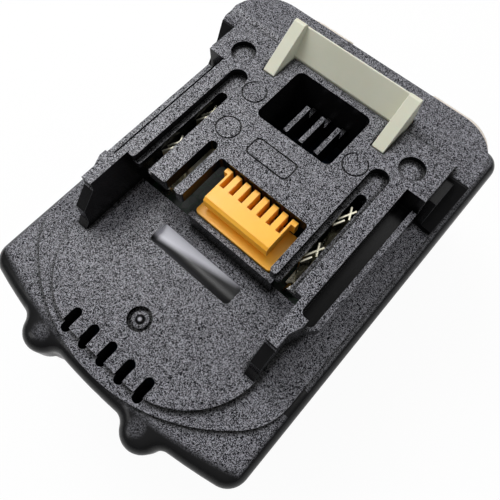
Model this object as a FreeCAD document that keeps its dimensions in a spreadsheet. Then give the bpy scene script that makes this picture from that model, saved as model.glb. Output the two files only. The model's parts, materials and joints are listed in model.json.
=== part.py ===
import FreeCAD, Part
import Sketcher
import math
import os
import re

# Slide-on battery pack for hand tools: a black tub and cover, a pale front
# panel, a sprung latch with its thumb button, and the ten cell block inside.
# Frame: X across, +Y towards the latch end, +Z up, origin under the middle.

doc = FreeCAD.newDocument("battery_pack")
V = FreeCAD.Vector

# Driving sizes in millimetres

SIZES = {
    "over": (1.0, "how far a cutting tool runs past a face"),
    "cell_d": (18.4, "cell diameter"),
    "cell_len": (65.0, "cell length"),
    "cell_gap": (0.5, "gap between neighbouring cells"),
    "cell_edge": (0.7, "rounding of the can's ends"),
    "cap_r": (3.2, "radius of the raised positive cap"),
    "cap_high": (0.8, "height of that cap"),
    "holder_rim": (0.4, "holder material outside the outer cells"),
    "holder_reach": (15.0, "how far a holder reaches over the cells"),
    "holder_clear": (0.05, "clearance of a cell in its holder bore"),
    "holder_corner": (2.5, "rounding of a holder's upright edges"),
    "strip_thick": (0.2, "nickel strip thickness"),
    "strip_wide": (8.0, "nickel strip width"),
    "lead_thick": (0.4, "thickness of the leads to the board"),
    "lead_wide": (6.0, "width of the leads to the board"),
    "lead_reach": (8.0, "leads' ends from the board's standoffs"),
    "paper_thick": (0.4, "insulating card thickness"),
    "roof_in": (0.4, "cover's room inside the tub's"),
    "side_clear": (1.6, "room between card and side wall"),
    "end_clear": (0.3, "room between cell block and end walls"),
    "front_clear": (1.6, "room between cell block and front wall"),
    "wall": (2.4, "tub wall"),
    "floor_thick": (2.4, "tub floor"),
    "pad_thick": (0.6, "foam pad under the cell block"),
    "pad_in": (5.0, "pad inside the cell block's outline"),
    "rim_drop": (0.1, "rim below the cell block's top"),
    "flange_high": (4.0, "height of the outer band below the rim"),
    "flange_step": (0.9, "inset of the tub below its band"),
    "tub_edge": (2.5, "rounding round the foot of the tub"),
    "rear_corner": (5.0, "plan radius of the rear corners"),
    "rim_notch": (2.7, "dip in the tub's rim behind the thumb button"),
    "front_corner": (4.2, "plan radius of the front corners"),
    "rear_bow": (150.0, "plan radius of the bowed rear wall"),
    "lobe_r": (5.0, "radius of the rear screw lobes"),
    "lobe_x": (15.4, "screw lobes from the middle"),
    "lobe_reach": (3.3, "how far a lobe stands behind the wall"),
    "lobe_blend": (3.0, "hollow rounding beside a lobe"),
    "panel_depth": (6.2, "front panel ahead of the tub"),
    "deck_rise": (19.0, "slide deck above the rim"),
    "deck_thick": (3.2, "deck thickness"),
    "skirt_high": (4.2, "cover skirt above the rim"),
    "skirt_round": (3.8, "rounding along the skirt's top edge"),
    "tier_high": (0.8, "middle tier above the skirt"),
    "tier_in": (2.6, "middle tier inside the case's sides"),
    "tier_rear": (-51.7, "rear edge of the middle tier"),
    "tier_bow": (44.0, "plan radius of the middle tier's rear edge"),
    "tier_corner": (14.0, "plan radius of its rear corners"),
    "plateau_rise": (6.4, "plateau above the rim"),
    "plateau_half": (26.8, "half width of the plateau"),
    "plateau_rear": (-48.2, "rear edge of the plateau"),
    "plateau_corner": (19.0, "plan radius of the plateau's rear corners"),
    "slope_half": (29.8, "where the side slopes start, from the middle"),
    "slope_drop": (0.2, "side slopes' top below the plateau"),
    "slope_rear": (-22.0, "rear end of the side slopes' top"),
    "slope_run": (12.0, "length of their rear slope"),
    "cover_wall": (2.2, "cover wall"),
    "bay_rear": (-14.2, "rear edge of the deck"),
    "bay_in": (1.65, "bay's sides inside the deck's"),
    "bay_front": (16.0, "front end of the bay under the deck"),
    "floor_reach": (1.2, "floor in the bay ahead of the deck's rear edge"),
    "deck_half": (25.45, "half width of the deck between the trenches"),
    "neck_out": (2.15, "neck under the rails outside the deck"),
    "trench_deep": (6.3, "trench floor below the deck"),
    "trench_rear": (-16.9, "rear end of the trench"),
    "trench_corner": (1.3, "plan radius of the trench's rear end"),
    "trench_wide": (3.35, "width of the trenches between deck and rails"),
    "rail_lip": (1.3, "rail lip thickness"),
    "rail_drop": (4.5, "rail lip below the deck"),
    "rail_thick": (1.5, "rail under the trench floor"),
    "rail_rear": (-15.9, "rear end of the rail"),
    "rail_bevel": (1.0, "bevel across the rail's rear end"),
    "rail_split": (0.7, "notch between rail lip and front block"),
    "jog_rear": (-18.6, "rear end of the block behind the trench"),
    "jog_foot": (-21.1, "where that block meets the guide wall"),
    "guide_out": (1.05, "guide walls outside the deck"),
    "guide_top_rear": (-24.6, "rear end of a guide wall's top"),
    "guide_brow": (2.3, "straight part of its rear edge"),
    "guide_waist": (6.6, "bend in that edge below the deck"),
    "guide_waist_back": (4.3, "bend behind the wall's top"),
    "guide_knee": (10.7, "lower bend below the deck"),
    "guide_knee_back": (4.7, "lower bend behind the wall's top"),
    "guide_foot_back": (6.2, "guide wall's foot behind its top"),
    "block_in": (0.1, "front block inside the rails"),
    "block_rear": (17.8, "rear face of the front block"),
    "block_front": (29.4, "front edge of the deck"),
    "head_half": (34.9, "half width of the head"),
    "head_front": (42.1, "front edge of the head"),
    "head_corner": (10.5, "plan radius of the head's corners"),
    "ridge_y": (32.0, "ridge of the head"),
    "ridge_drop": (0.6, "ridge below the deck"),
    "valley_deep": (1.0, "valley between deck and head"),
    "brow_drop": (1.4, "head's front edge below the deck"),
    "lip_drop": (2.6, "lower end of the head's front edge"),
    "cheek_top": (28.6, "top of the head's slanted rear face"),
    "cheek_foot": (20.4, "foot of the head's slanted rear face"),
    "cheek_run": (4.6, "bend in that face ahead of its foot"),
    "cheek_drop": (6.3, "that bend below the deck"),
    "brow_run": (1.3, "bevel behind the face's top"),
    "brow_deep": (1.8, "lower end of that bevel below the deck"),
    "contact_x": (19.6, "power contacts from the middle"),
    "channel_wide": (4.6, "width of the contact channels"),
    "channel_deep": (1.85, "depth of the contact channels"),
    "channel_front": (18.2, "front end of the contact channels"),
    "slot_wide": (2.35, "width of the contact slots"),
    "slot_front": (11.8, "front end of the contact slots"),
    "third_x": (-11.5, "third slot from the middle"),
    "third_wide": (2.4, "width of the third slot"),
    "third_front": (0.1, "front end of the third slot"),
    "tab_corner": (0.7, "plan radius of the deck's rear corners"),
    "mouth_left": (-8.1, "left side of the terminal opening"),
    "mouth_right": (15.6, "right side of the terminal opening"),
    "mouth_front": (-2.0, "front edge of the terminal opening"),
    "mouth_corner": (0.9, "plan radius of its front corners"),
    "window_half": (10.1, "half width of the vent window"),
    "window_rear": (11.1, "rear edge of the vent window"),
    "window_front": (26.8, "front edge of the vent window"),
    "window_corner": (1.6, "corner radius of the vent window"),
    "well_deep": (12.0, "depth of the vent well"),
    "well_wall": (1.6, "wall of the vent well"),
    "rib_thick": (1.15, "vent rib thickness"),
    "rib_pitch": (4.5, "vent rib pitch"),
    "rib_drop": (5.3, "vent ribs below the deck"),
    "rib_rear": (15.1, "rear end of the vent ribs' high part"),
    "rib_front": (23.8, "front end of their high part"),
    "rib_step": (3.6, "drop to their low part"),
    "vent_pitch": (5.45, "rear vent pitch"),
    "vent_wide": (2.3, "rear vent width"),
    "vent_front": (-43.7, "front end of the rear vents"),
    "vent_rear": (-49.6, "rear end of the rear vents"),
    "scoop_half": (11.75, "half length of the scoop in the floor"),
    "scoop_y": (-20.2, "middle of the scoop"),
    "scoop_wide": (5.2, "width of the scoop"),
    "scoop_deep": (1.5, "depth of the scoop"),
    "scoop_corner": (1.0, "plan radius of the scoop's corners"),
    "dimple_r": (2.95, "radius of the round recesses"),
    "dimple_deep": (1.3, "depth of the round recesses"),
    "dimple_x": (23.55, "deck recesses from the middle"),
    "dimple_y": (22.4, "deck recesses along the deck"),
    "nub_y": (-37.0, "recess in the plateau along the pack"),
    "nub_ring": (2.8, "radius of that recess"),
    "nub_r": (1.95, "radius of the disc in it"),
    "nub_sunk": (0.6, "disc below the plateau"),
    "nub_tip": (1.0, "radius of the nub on the disc"),
    "nub_high": (0.45, "height of that nub"),
    "mark_r": (2.78, "radius of the ring grooves in the deck"),
    "mark_wide": (0.35, "width of the grooves"),
    "mark_deep": (0.3, "depth of the grooves"),
    "mark_x": (14.0, "ring grooves beside the middle"),
    "mark_y": (15.35, "those grooves along the deck"),
    "third_mark_x": (-12.1, "groove at the end of the third slot"),
    "third_mark_y": (4.6, "that groove along the deck"),
    "field_half": (5.5, "half length of the bare framed field"),
    "field_rear": (2.5, "rear edge of that field"),
    "field_front": (7.1, "its front edge"),
    "field_corner": (1.1, "its plan radius"),
    "latch_half": (16.7, "half width over the latch ears"),
    "ear_wide": (2.95, "latch ear width"),
    "latch_rear": (21.5, "rear end of the latch ears"),
    "latch_front": (32.9, "front face of the latch"),
    "latch_rise": (6.8, "latch ears above the deck"),
    "beam_drop": (0.7, "latch beam below the ears"),
    "beam_rear": (29.0, "rear face of the latch beam"),
    "beam_foot": (0.3, "foot of the beam's slope above the deck"),
    "beam_flat": (0.3, "level top of the beam"),
    "run_gap": (0.35, "running gap round the latch"),
    "ear_drop": (10.0, "lower end of the latch ears below the deck"),
    "ear_flat": (1.3, "level top of a latch ear"),
    "ear_round": (0.8, "rounding of its front edge"),
    "latch_travel": (6.9, "latch travel"),
    "arm_half": (12.0, "half width of the latch arm"),
    "arm_drop": (11.4, "underside of the latch arm below the deck"),
    "arm_thick": (2.4, "latch arm thickness"),
    "button_half": (13.4, "half width of the thumb button"),
    "button_low": (22.0, "lower end of the thumb button"),
    "button_drop": (4.4, "upper end of the thumb button below the deck"),
    "button_thick": (2.2, "thumb button thickness"),
    "button_sunk": (0.6, "thumb button behind the panel's face"),
    "panel_low": (8.0, "lower edge of the front panel"),
    "panel_wall": (2.2, "front panel wall"),
    "panel_in": (0.5, "front panel inside the head's sides"),
    "knee_rise": (1.5, "panel's slope ends above the rim"),
    "panel_gap": (0.2, "gap between the panel and its neighbours"),
    "wing_rear": (34.5, "rear end of the panel's wings"),
    "spring_d": (2.5, "mean diameter of a latch spring"),
    "spring_wire": (0.5, "latch spring wire"),
    "spring_x": (8.0, "latch springs from the middle"),
    "spring_out": (1.7, "latch springs ahead of the tub"),
    "seat_high": (24.0, "height of the spring seats"),
    "seat_thick": (2.0, "spring seat thickness"),
    "seat_half": (2.2, "half width of a spring seat"),
    "seat_deep": (3.1, "how far a seat stands out"),
    "post_r": (0.7, "radius of the post in a spring"),
    "post_high": (2.5, "height of that post"),
    "lug_drop": (1.0, "underside of the button's lugs below the rim"),
    "board_thick": (1.6, "circuit board thickness"),
    "board_rise": (1.3, "underside of the circuit board above the rim"),
    "board_half": (22.6, "half width of the circuit board"),
    "board_rear": (-44.0, "rear edge of the circuit board"),
    "board_front": (18.0, "front edge of the circuit board"),
    "board_clear": (1.2, "room round the circuit board"),
    "board_corner": (2.0, "corner radius of the circuit board"),
    "part_high": (1.0, "height of the parts on the board"),
    "chip_wide": (8.0, "side of the control chip"),
    "chip_x": (7.5, "control chip from the middle"),
    "chip_in": (14.5, "chips from the board's rear edge"),
    "small_chip": (6.0, "side of the balance chip"),
    "shunt_half": (4.0, "half length of the shunt"),
    "shunt_wide": (3.0, "width of the shunt"),
    "shunt_in": (3.5, "shunt and fuse from the board's rear edge"),
    "fuse_long": (5.0, "length of the fuse"),
    "fuse_x": (14.5, "fuse from the middle"),
    "resistor_x": (17.0, "resistors from the middle"),
    "resistor_long": (2.0, "length of a resistor"),
    "resistor_wide": (1.2, "width of a resistor"),
    "resistor_pitch": (2.2, "pitch of the resistors"),
    "resistor_in": (6.6, "first resistor from the board's rear edge"),
    "stud_r": (1.9, "radius of the board's standoffs"),
    "stud_x": (20.2, "standoffs from the middle"),
    "stud_in": (4.0, "standoffs from the board's ends"),
    "pin_r": (0.9, "board screw radius"),
    "pin_head_r": (1.7, "board screw head radius"),
    "pin_head": (0.9, "board screw head height"),
    "pin_long": (1.1, "board screw below the board"),
    "leaf_drop": (4.0, "top of the contact leaves below the deck"),
    "leaf_thick": (0.4, "contact leaf thickness"),
    "leaf_long": (4.5, "long contact leaf"),
    "leaf_short": (2.8, "short contact leaf"),
    "leaf_cross": (3.2, "crossed contact leaf"),
    "leaf_turn": (26.0, "slant of the contact leaves in degrees"),
    "leaf_side": (0.3, "long leaf beside the contact's middle"),
    "leaf_back": (2.5, "short leaf behind the long one"),
    "leaf_ahead": (0.8, "crossed leaf ahead of the long one"),
    "fork_pitch": (10.9, "distance between a contact's two forks"),
    "fork_front": (6.9, "front fork along the pack"),
    "foot_high": (0.8, "contact foot thickness"),
    "foot_half": (2.3, "half width of a contact foot"),
    "foot_rear": (-9.5, "rear end of a contact foot"),
    "foot_front": (9.5, "front end of a contact foot"),
    "block_left": (-6.2, "left side of the terminal block"),
    "block_right": (14.9, "right side of the terminal block"),
    "block_back": (-12.85, "rear face of the terminal block"),
    "block_nose": (-3.2, "front face of the terminal block"),
    "block_drop": (6.0, "terminal block's body below the deck"),
    "block_corner": (0.9, "plan radius of its rear corners"),
    "screen_left": (-6.8, "left end of the wall behind the terminal block"),
    "screen_right": (16.6, "right end of that wall"),
    "screen_thick": (1.35, "its thickness"),
    "screen_drop": (6.5, "its top below the deck"),
    "comb_left": (-4.95, "left side of the comb"),
    "comb_right": (12.45, "right side of the comb"),
    "comb_ear": (1.05, "ears beside the end teeth's tips"),
    "comb_ear_long": (1.2, "length of those ears"),
    "comb_thick": (3.2, "thickness of the comb"),
    "comb_drop": (1.5, "comb below the deck"),
    "comb_rear": (-11.1, "rear edge of the comb"),
    "comb_root": (-6.6, "roots of the comb's slots"),
    "comb_tip": (-2.3, "tips of the comb's teeth"),
    "comb_pitch": (2.54, "comb pitch"),
    "comb_slot": (1.15, "comb slot width"),
    "comb_bevel": (0.7, "bevel along the comb's rear edge"),
    "comb_neck": (2.1, "neck under the comb inside its edges"),
    "slot_rise": (3.1, "lower end of the comb's slots above the board"),
    "plate_thick": (0.4, "signal contact thickness"),
    "plate_long": (1.8, "signal contact length"),
    "plate_high": (5.0, "signal contact height"),
    "screw_r": (1.5, "case screw radius"),
    "screw_head_r": (2.0, "case screw head radius"),
    "screw_head": (1.8, "case screw head height"),
    "screw_grip": (14.0, "tub material under a case screw's head"),
    "screw_bite": (2.4, "case screw in the cover"),
    "screw_clear": (0.2, "clearance round a case screw"),
    "screw_fit": (0.05, "clearance round its thread in the cover"),
    "pin_play": (0.1, "clearance round a board screw"),
    "boss_r": (2.9, "front screw boss radius"),
    "boss_x": (22.0, "front screw bosses from the middle"),
    "boss_out": (0.6, "front screws ahead of the tub"),
    "boss_rise": (3.2, "cover's front bosses above the rim"),
    "well_in": (1.9, "rear screws behind a lobe's middle"),
    "sensor_r": (1.4, "temperature sensor radius"),
    "sensor_long": (7.0, "temperature sensor length"),
    "sensor_lead": (0.5, "temperature sensor lead thickness"),
}

# Places that follow from the driving sizes

PLACES = {
    "pitch": "cell_d + cell_gap",
    "half_cell": "cell_len / 2",
    "block_deep": "4 * pitch + cell_d + 2 * holder_rim",
    "block_tall": "pitch + cell_d + 2 * holder_rim",
    "strip_out": "half_cell + strip_thick",
    "card_in": "strip_out + lead_thick",
    "card_out": "card_in + paper_thick",
    "inner_half": "card_out + side_clear",
    "case_half": "inner_half + wall",
    "inner_bow": "rear_bow - wall",
    "bow_sag": "half_cell ^ 2 / (2 * inner_bow)",
    "case_long": "bow_sag + end_clear + block_deep + front_clear + 2 * wall",
    "front_y": "(case_long + lobe_reach + panel_depth) / 2",
    "case_front": "front_y - panel_depth",
    "case_rear": "case_front - case_long",
    "inner_rear": "case_rear + wall",
    "inner_front": "case_front - wall",
    "cells_rear": "inner_rear + bow_sag + end_clear",
    "cells_front": "cells_rear + block_deep",
    "cells_low": "floor_thick + pad_thick",
    "cells_top": "cells_low + block_tall",
    "rim_height": "cells_top - rim_drop",
    "first_y": "cells_rear + holder_rim + cell_d / 2",
    "first_z": "cells_low + holder_rim + cell_d / 2",
    "lobe_y": "case_rear - lobe_reach + lobe_r",
    "skirt_top": "rim_height + skirt_high",
    "tier_top": "skirt_top + tier_high",
    "tier_half": "case_half - tier_in",
    "plateau_top": "rim_height + plateau_rise",
    "deck_top": "rim_height + deck_rise",
    "slope_top": "plateau_top - slope_drop",
    "floor_low": "plateau_top - cover_wall",
    "roof_low": "skirt_top - cover_wall",
    "deck_low": "deck_top - deck_thick",
    "lip_z": "deck_top - lip_drop",
    "bay_half": "deck_half - bay_in",
    "neck_half": "deck_half + neck_out",
    "rail_half": "deck_half + trench_wide + rail_lip",
    "block_half": "rail_half - block_in",
    "guide_half": "deck_half + guide_out",
    "floor_front": "bay_rear + floor_reach",
    "screen_rear": "floor_front - screen_thick",
    "trench_floor": "deck_top - trench_deep",
    "rail_top": "deck_top - rail_drop",
    "rail_under": "trench_floor - rail_thick",
    "well_foot": "deck_top - well_deep",
    "rib_top": "deck_top - rib_drop",
    "board_low": "rim_height + board_rise",
    "board_top": "board_low + board_thick",
    "leaf_top": "deck_top - leaf_drop",
    "block_high": "deck_top - block_drop",
    "comb_high": "deck_top - comb_drop",
    "comb_low": "comb_high - comb_thick",
    "slot_low": "board_top + slot_rise",
    "latch_low": "deck_top - ear_drop",
    "arm_low": "deck_top - arm_drop",
    "arm_top": "arm_low + arm_thick",
    "button_top": "deck_top - button_drop",
    "lug_low": "rim_height - lug_drop",
    "panel_knee": "rim_height + knee_rise",
    "rear_well": "lobe_y - well_in",
    "front_well": "case_front + boss_out",
    "screw_ledge": "rim_height - screw_grip",
    "screw_tip": "rim_height + screw_bite",
    "panel_half": "head_half - panel_in",
    "spring_y": "case_front + spring_out",
    "comb_mid": "(comb_left + comb_right) / 2",
    "scoop_r": "(scoop_wide ^ 2 / 4 + scoop_deep ^ 2) / (2 * scoop_deep)",
    "scoop_rear": "scoop_y - scoop_wide / 2",
    "scoop_front": "scoop_y + scoop_wide / 2",
    "scoop_z": "plateau_top + scoop_r - scoop_deep",
    "stud_rear": "board_rear + stud_in",
    "stud_front": "board_front - stud_in",
}

COLUMNS = 5
SLOTS = (-3, -2, -1, 0, 1, 2, 3)
RIBS = (-1, 0, 1)
VENTS = (-2, -1, 0, 1, 2)
RESISTORS = 6
FORKS = 2
SIDES = (-1, 1)
FIRST_RING = 10.0

sizes = doc.addObject("Spreadsheet::Sheet", "Sizes")
for row, (alias, (value, words)) in enumerate(SIZES.items(), start=1):
    sizes.set("A%d" % row, words)
    sizes.set("B%d" % row, "%g" % value)
    sizes.setAlias("B%d" % row, alias)
doc.recompute()


def bound(text):
    """An expression in which each alias names the sheet that holds it."""
    def owner(word):
        sheet = "Sizes" if word.group() in SIZES else "Places"
        return "%s.%s" % (sheet, word.group())
    return re.sub(r"[a-z]\w*", owner, str(text))


places = doc.addObject("Spreadsheet::Sheet", "Places")
for row, (alias, text) in enumerate(PLACES.items(), start=1):
    places.set("A%d" % row, alias.replace("_", " "))
    places.set("B%d" % row, "=" + bound(text).replace("Places.", ""))
    places.setAlias("B%d" % row, alias)
doc.recompute()


class Dims:
    """Numbers read from the sheets, by alias."""

    def __getattr__(self, alias):
        sheet = sizes if alias in SIZES else places
        return float(sheet.get(alias))


d = Dims()

# Helpers that add one object each, with its sizes bound to the sheets


def place(obj, x, y, z):
    for axis, text in (("x", x), ("y", y), ("z", z)):
        obj.setExpression("Placement.Base." + axis, bound(text))
    return obj


def box(name, x0, x1, y0, y1, z0, z1):
    obj = doc.addObject("Part::Box", name)
    obj.setExpression("Length", bound("(%s) - (%s)" % (x1, x0)))
    obj.setExpression("Width", bound("(%s) - (%s)" % (y1, y0)))
    obj.setExpression("Height", bound("(%s) - (%s)" % (z1, z0)))
    return place(obj, x0, y0, z0)


def wide(name, half, y0, y1, z0, z1):
    """A box that is symmetric about the middle plane."""
    return box(name, "-(%s)" % half, half, y0, y1, z0, z1)


def rod(name, radius, x, y, z0, z1):
    obj = doc.addObject("Part::Cylinder", name)
    obj.setExpression("Radius", bound(radius))
    obj.setExpression("Height", bound("(%s) - (%s)" % (z1, z0)))
    return place(obj, x, y, z0)


def rod_x(name, radius, x0, x1, y, z):
    obj = doc.addObject("Part::Cylinder", name)
    obj.Placement.Rotation = FreeCAD.Rotation(V(0, 1, 0), 90)
    obj.setExpression("Radius", bound(radius))
    obj.setExpression("Height", bound("(%s) - (%s)" % (x1, x0)))
    return place(obj, x0, y, z)


def prism(name, plane, corners, start, end):
    """A polygon drawn on a plane and carried from start to end across it.

    On YZ a corner is (y, z) and the carry runs along X; on XY a corner is
    (x, y) and the carry runs along Z. The sketch starts as a ring of lines
    and its dimensions then draw each corner to its place.
    """
    sketch = doc.addObject("Sketcher::SketchObject", name + "_outline")
    turn, across = PLANES[plane]
    sketch.Placement.Rotation = turn
    sketch.setExpression("Placement.Base." + across, bound(start))
    count = len(corners)
    angles = [2 * math.pi * i / count for i in range(count)]
    ring = [V(FIRST_RING * math.cos(angle), FIRST_RING * math.sin(angle), 0) for angle in angles]
    for i in range(count):
        sketch.addGeometry(Part.LineSegment(ring[i], ring[(i + 1) % count]), False)
    for i, (across_text, up_text) in enumerate(corners):
        sketch.addConstraint(Sketcher.Constraint("Coincident", i, 2, (i + 1) % count, 1))
        held = sketch.addConstraint(Sketcher.Constraint("DistanceX", i, 1, ring[i].x))
        sketch.setExpression("Constraints[%d]" % held, bound(across_text))
        held = sketch.addConstraint(Sketcher.Constraint("DistanceY", i, 1, ring[i].y))
        sketch.setExpression("Constraints[%d]" % held, bound(up_text))
    solid = doc.addObject("Part::Extrusion", name)
    solid.Base = sketch
    solid.DirMode = "Normal"
    solid.Solid = True
    solid.setExpression("LengthFwd", bound("(%s) - (%s)" % (end, start)))
    return solid


PLANES = {
    "XY": (FreeCAD.Rotation(), "z"),
    "YZ": (FreeCAD.Rotation(0.5, 0.5, 0.5, 0.5), "x"),
}


def fuse(name, *pieces):
    obj = doc.addObject("Part::MultiFuse", name)
    obj.Shapes = list(pieces)
    obj.Refine = True
    return obj


def shared(name, *pieces):
    obj = doc.addObject("Part::MultiCommon", name)
    obj.Shapes = list(pieces)
    return obj


def cut(name, base, *tools):
    obj = doc.addObject("Part::Cut", name)
    obj.Base = base
    obj.Tool = tools[0] if len(tools) == 1 else fuse(name + "_tools", *tools)
    return obj


def mirror(name, base):
    obj = doc.addObject("Part::Mirroring", name)
    obj.Source = base
    obj.Normal = V(1, 0, 0)
    return obj


def rounded(name, base, radius_of):
    """Rounds each edge of an object for which radius_of(edge) isn't zero."""
    doc.recompute()
    edges = [(i, radius_of(edge)) for i, edge in enumerate(base.Shape.Edges, 1)]
    obj = doc.addObject("Part::Fillet", name)
    obj.Base = base
    obj.Edges = [(i, radius, radius) for i, radius in edges if radius]
    return obj


def feature(name, shape):
    obj = doc.addObject("Part::Feature", name)
    obj.Shape = shape
    return obj


def upright(edge):
    """True for an edge that runs straight up."""
    box_of = edge.BoundBox
    return box_of.XLength < 1e-4 and box_of.YLength < 1e-4


def at_height(edge, z):
    """True for an edge that lies level at a height."""
    box_of = edge.BoundBox
    return abs(box_of.ZMin - z) < 1e-4 and abs(box_of.ZMax - z) < 1e-4


def middle(edge):
    return edge.valueAt((edge.FirstParameter + edge.LastParameter) / 2)


# Case outline, shared by tub and cover


def case_block(name, inset, z0, z1):
    """The case's plan outline, drawn in by inset, between two heights."""
    plain = wide(
        name + "_plain", "case_half - " + inset,
        "case_rear + " + inset, "case_front - " + inset, z0, z1,
    )
    bow = rod(name + "_bow", "rear_bow - " + inset, 0, "case_rear + rear_bow", z0, z1)
    bowed = shared(name + "_bowed", plain, bow)

    def corner(edge):
        if not upright(edge):
            return 0
        return d.front_corner if middle(edge).y > 0 else d.rear_corner

    body = rounded(name + "_body", bowed, corner)
    lobes = [
        rod("%s_lobe_%d" % (name, i), "lobe_r - " + inset, "%d * lobe_x" % side, "lobe_y", z0, z1)
        for i, side in enumerate(SIDES)
    ]
    lobed = fuse(name + "_lobed", body, *lobes)

    def hollow(edge):
        near = middle(edge)
        beside = abs(abs(near.x) - d.lobe_x) < d.lobe_r + d.over / 2
        return d.lobe_blend if upright(edge) and beside and near.y < d.lobe_y + d.over else 0

    return rounded(name, lobed, hollow)


def bowed_room(name, inset, z0, z1):
    """The room inside the case's bowed rear wall, between two heights."""
    plain = wide(
        name + "_plain", "inner_half - " + inset,
        "inner_rear + " + inset, "inner_front - " + inset, z0, z1,
    )
    bow = rod(name + "_bow", "inner_bow - " + inset, 0, "case_rear + rear_bow", z0, z1)
    bowed = shared(name + "_bowed", plain, bow)
    return rounded(name, bowed, lambda edge: d.holder_corner if upright(edge) else 0)


def wells(name):
    """The four case screws' places as (x, y) expressions."""
    return [
        ("%d * %s" % (side, x), y)
        for x, y in (("lobe_x", "rear_well"), ("boss_x", "front_well"))
        for side in SIDES
    ]


# Lower case: an open tub with a band at its rim, screw wells and spring seats


def lower_case():
    band = case_block("band", "0", "rim_height - flange_high", "rim_height")
    tub = case_block("tub", "flange_step", "0", "rim_height - flange_high")
    foot = rounded("tub_foot", tub, lambda edge: d.tub_edge if at_height(edge, 0) else 0)
    bosses = [
        rod("boss_%d" % i, "boss_r", x, y, "panel_low + 2 * panel_wall", "rim_height")
        for i, (x, y) in enumerate(wells("boss")[2:])
    ]
    seats = []
    for i, side in enumerate(SIDES):
        x = "%d * spring_x" % side
        seats.append(box(
            "seat_%d" % i, x + " - seat_half", x + " + seat_half",
            "case_front - wall", "case_front + seat_deep",
            "seat_high - seat_thick", "seat_high",
        ))
        seats.append(rod("post_%d" % i, "post_r", x, "spring_y", "seat_high", "seat_high + post_high"))
    whole = fuse("tub_whole", band, foot, *bosses, *seats)
    room = bowed_room("tub_room", "0", "floor_thick", "rim_height + wall")
    holes = []
    for i, (x, y) in enumerate(wells("well")):
        holes.append(rod("well_%d" % i, "screw_head_r + screw_clear", x, y, "-wall", "screw_ledge"))
        holes.append(rod("shank_%d" % i, "screw_r + screw_clear", x, y, "0", "rim_height + wall"))
    notch = wide("rim_dip", "button_half + run_gap", "inner_front - over", "case_front + over",
                 "rim_height - rim_notch", "rim_height + wall")
    return cut("lower_case", whole, room, notch, *holes)


# Top cover: skirt, tiers, plateau, slide deck with rails, guide walls and head


def front_form(half, inset):
    """The front's outer form: a plan outline with round front corners that
    rises straight, slants back to the head's edge and rises straight again.
    """
    out = half - inset
    front = d.front_y - inset
    bend = d.head_corner - inset
    rear = d.cheek_foot - d.panel_depth
    z = d.panel_low
    knee = d.panel_knee - d.panel_low
    side = out - bend
    diag = bend * math.sqrt(0.5)
    turn = front - bend
    right = Part.Arc(V(out, turn, z), V(side + diag, turn + diag, z), V(side, front, z))
    left = Part.Arc(V(-side, front, z), V(-side - diag, turn + diag, z), V(-out, turn, z))
    edges = [
        Part.LineSegment(V(-out, rear, z), V(out, rear, z)).toShape(),
        Part.LineSegment(V(out, rear, z), V(out, turn, z)).toShape(),
        right.toShape(),
        Part.LineSegment(V(side, front, z), V(-side, front, z)).toShape(),
        left.toShape(),
        Part.LineSegment(V(-out, turn, z), V(-out, rear, z)).toShape(),
    ]
    face = Part.Face(Part.Wire(edges))
    low = face.extrude(V(0, 0, knee))
    face.translate(V(0, 0, knee))
    back = V(0, d.head_front - d.front_y, d.lip_z - d.panel_knee)
    slant = face.extrude(back)
    face.translate(back)
    high = face.extrude(V(0, 0, d.lip_drop))
    return low.fuse(slant).fuse(high).removeSplitter()


def tier_plan(name, z0, z1):
    """The middle tier's plan, with a bowed rear edge, between two heights."""
    plain = wide(name + "_plain", "tier_half", "tier_rear", "over", z0, z1)
    bow = rod(name + "_bow", "tier_bow", 0, "tier_rear + tier_bow", z0, z1)
    rear = rounded(
        name + "_rear", shared(name + "_bowed", plain, bow),
        lambda edge: d.tier_corner if upright(edge) and middle(edge).y < 0 else 0,
    )
    return fuse(name, rear, wide(name + "_front", "tier_half", "0", "wing_rear", z0, z1))


def tiers():
    skirt = case_block("skirt", "0", "rim_height", "skirt_top")
    soft = rounded(
        "skirt_soft", skirt,
        lambda edge: d.skirt_round if at_height(edge, d.skirt_top) else 0,
    )
    tier = tier_plan("tier", "skirt_top - over", "tier_top")
    plateau_plain = wide("plateau_plain", "plateau_half", "plateau_rear", "block_rear",
                         "skirt_top", "plateau_top")
    plateau = rounded(
        "plateau", plateau_plain,
        lambda edge: d.plateau_corner if upright(edge) and middle(edge).y < 0 else 0,
    )
    slope = doc.addObject("Part::Wedge", "slope")
    for prop, text in (
        ("Xmin", "-tier_half"), ("Xmax", "tier_half"),
        ("X2min", "-slope_half"), ("X2max", "slope_half"),
        ("Ymin", "tier_top"), ("Ymax", "slope_top"),
        ("Zmin", "-cheek_foot - wall"), ("Zmax", "slope_run - slope_rear"),
        ("Z2min", "-cheek_foot - wall"), ("Z2max", "-slope_rear"),
    ):
        slope.setExpression(prop, bound(text))
    slope.Placement.Rotation = FreeCAD.Rotation(V(1, 0, 0), 90)
    zone = tier_plan("slope_zone", "skirt_top", "plateau_top")
    return [soft, tier, plateau, shared("slope_inside", slope, zone)]


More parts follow.
